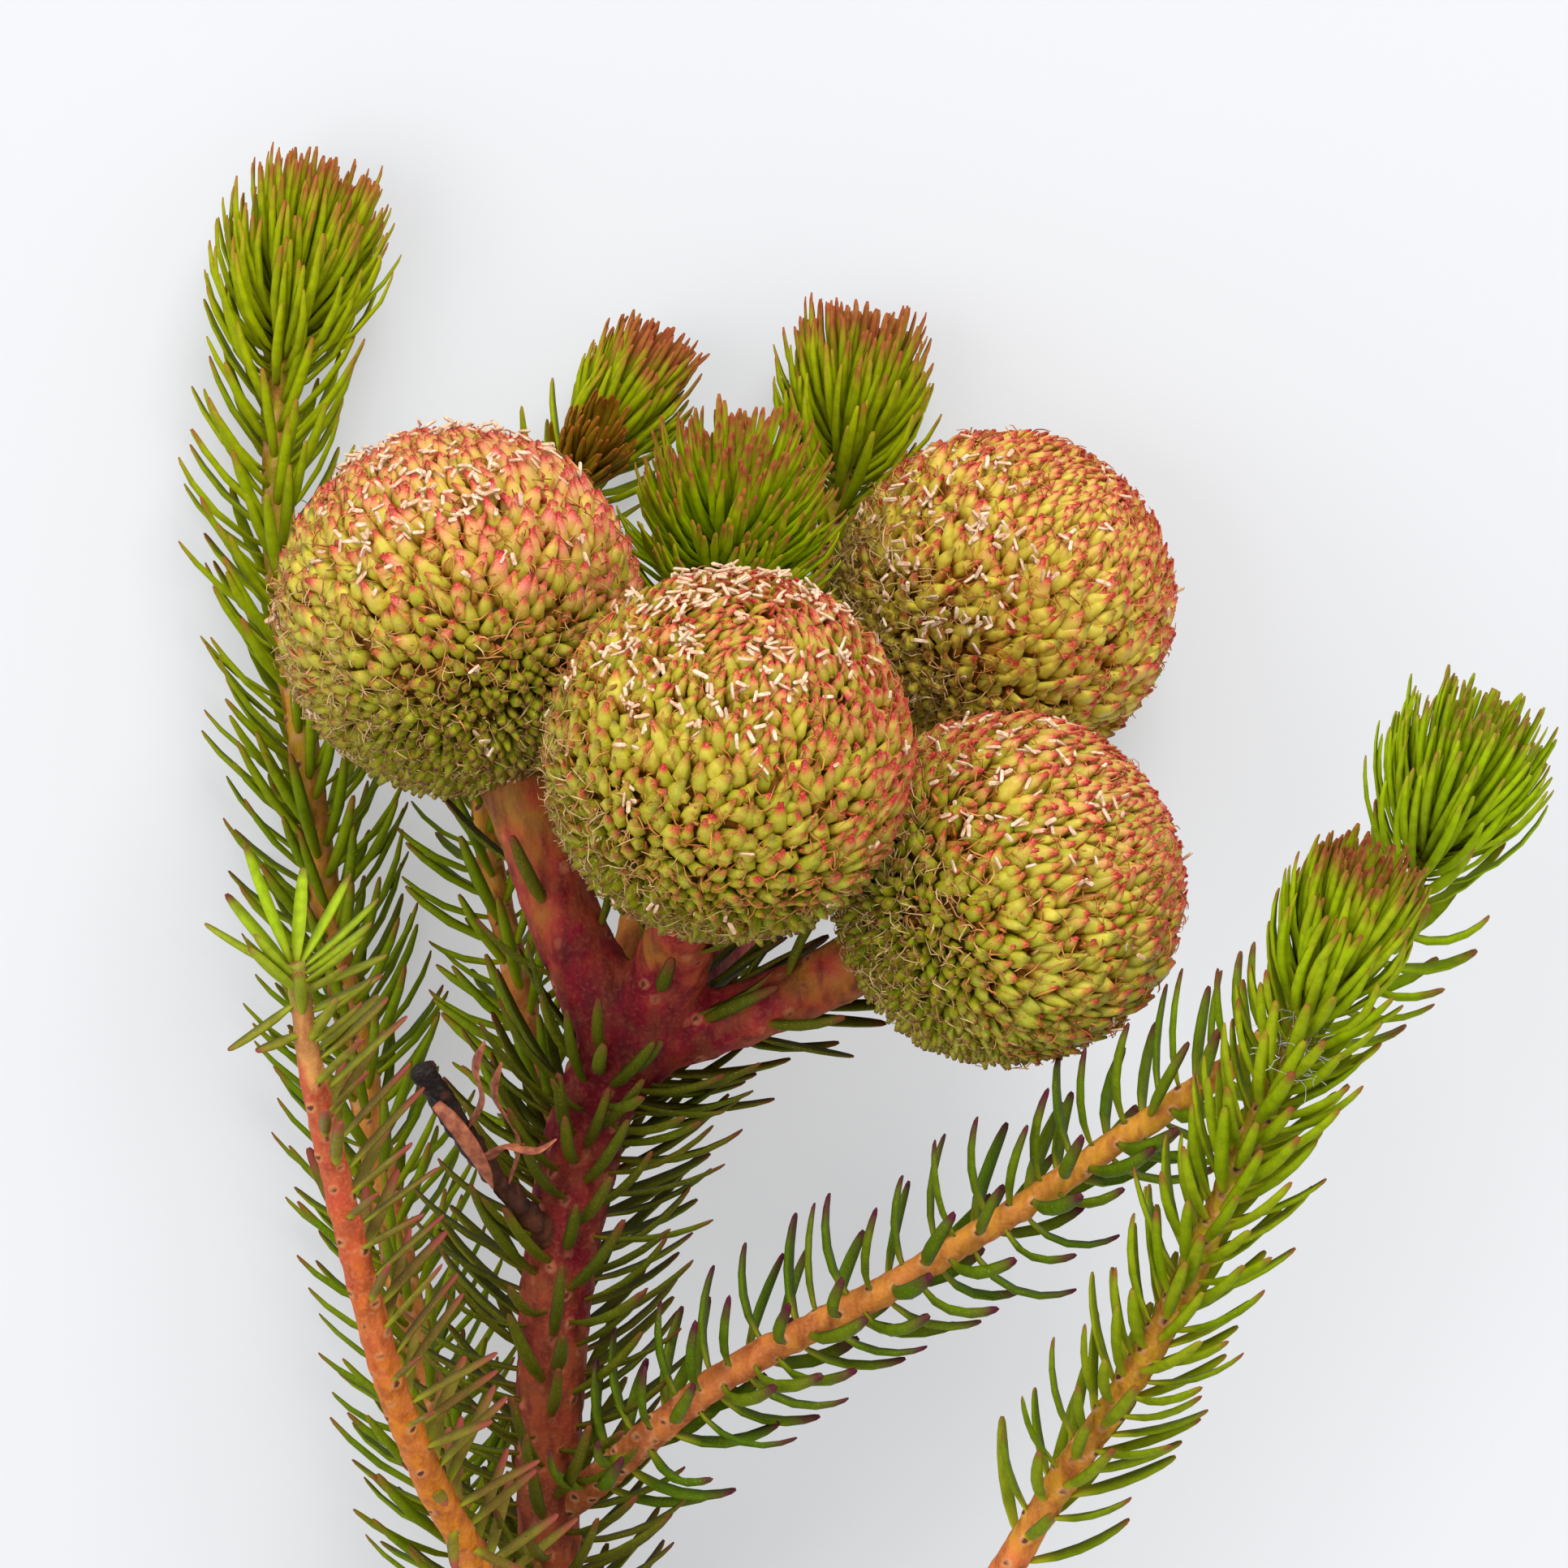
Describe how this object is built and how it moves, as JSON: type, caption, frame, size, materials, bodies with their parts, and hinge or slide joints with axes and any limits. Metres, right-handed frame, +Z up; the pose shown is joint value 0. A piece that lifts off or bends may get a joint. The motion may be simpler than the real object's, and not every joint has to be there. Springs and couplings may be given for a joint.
{
  "type": "berzelia stem",
  "caption": "Cut berzelia stem lying down: round yellow-green flower heads with reddish crowns on thick red peduncles, among slender leafy side shoots with needle brushes at their tips.",
  "frame": {"origin": "middle of the stem's footprint, on the surface it lies on", "axes": "+Y along the stem from its cut end to its heads, +Z up from the surface it lies on, +X to the right as seen from above"},
  "size_m": [0.0714, 0.1405, 0.044],
  "materials": {
    "bark": "satin",
    "floret": "matte",
    "needle": "satin",
    "withered": "matte",
    "anther": "matte",
    "filament": "satin"
  },
  "bodies": {
    "root": {"main_stem": "bark", "head_front": "floret", "head_left": "floret", "head_right_low": "floret", "head_right_back": "floret", "shoot_right_front": "needle", "shoot_left_front": "needle", "shoot_right_branch": "needle", "shoot_centre": "needle", "shoot_back_right": "needle", "shoot_back_left": "needle", "shoot_left_tall": "needle", "withered_stub": "withered"}
  },
  "joints": []
}
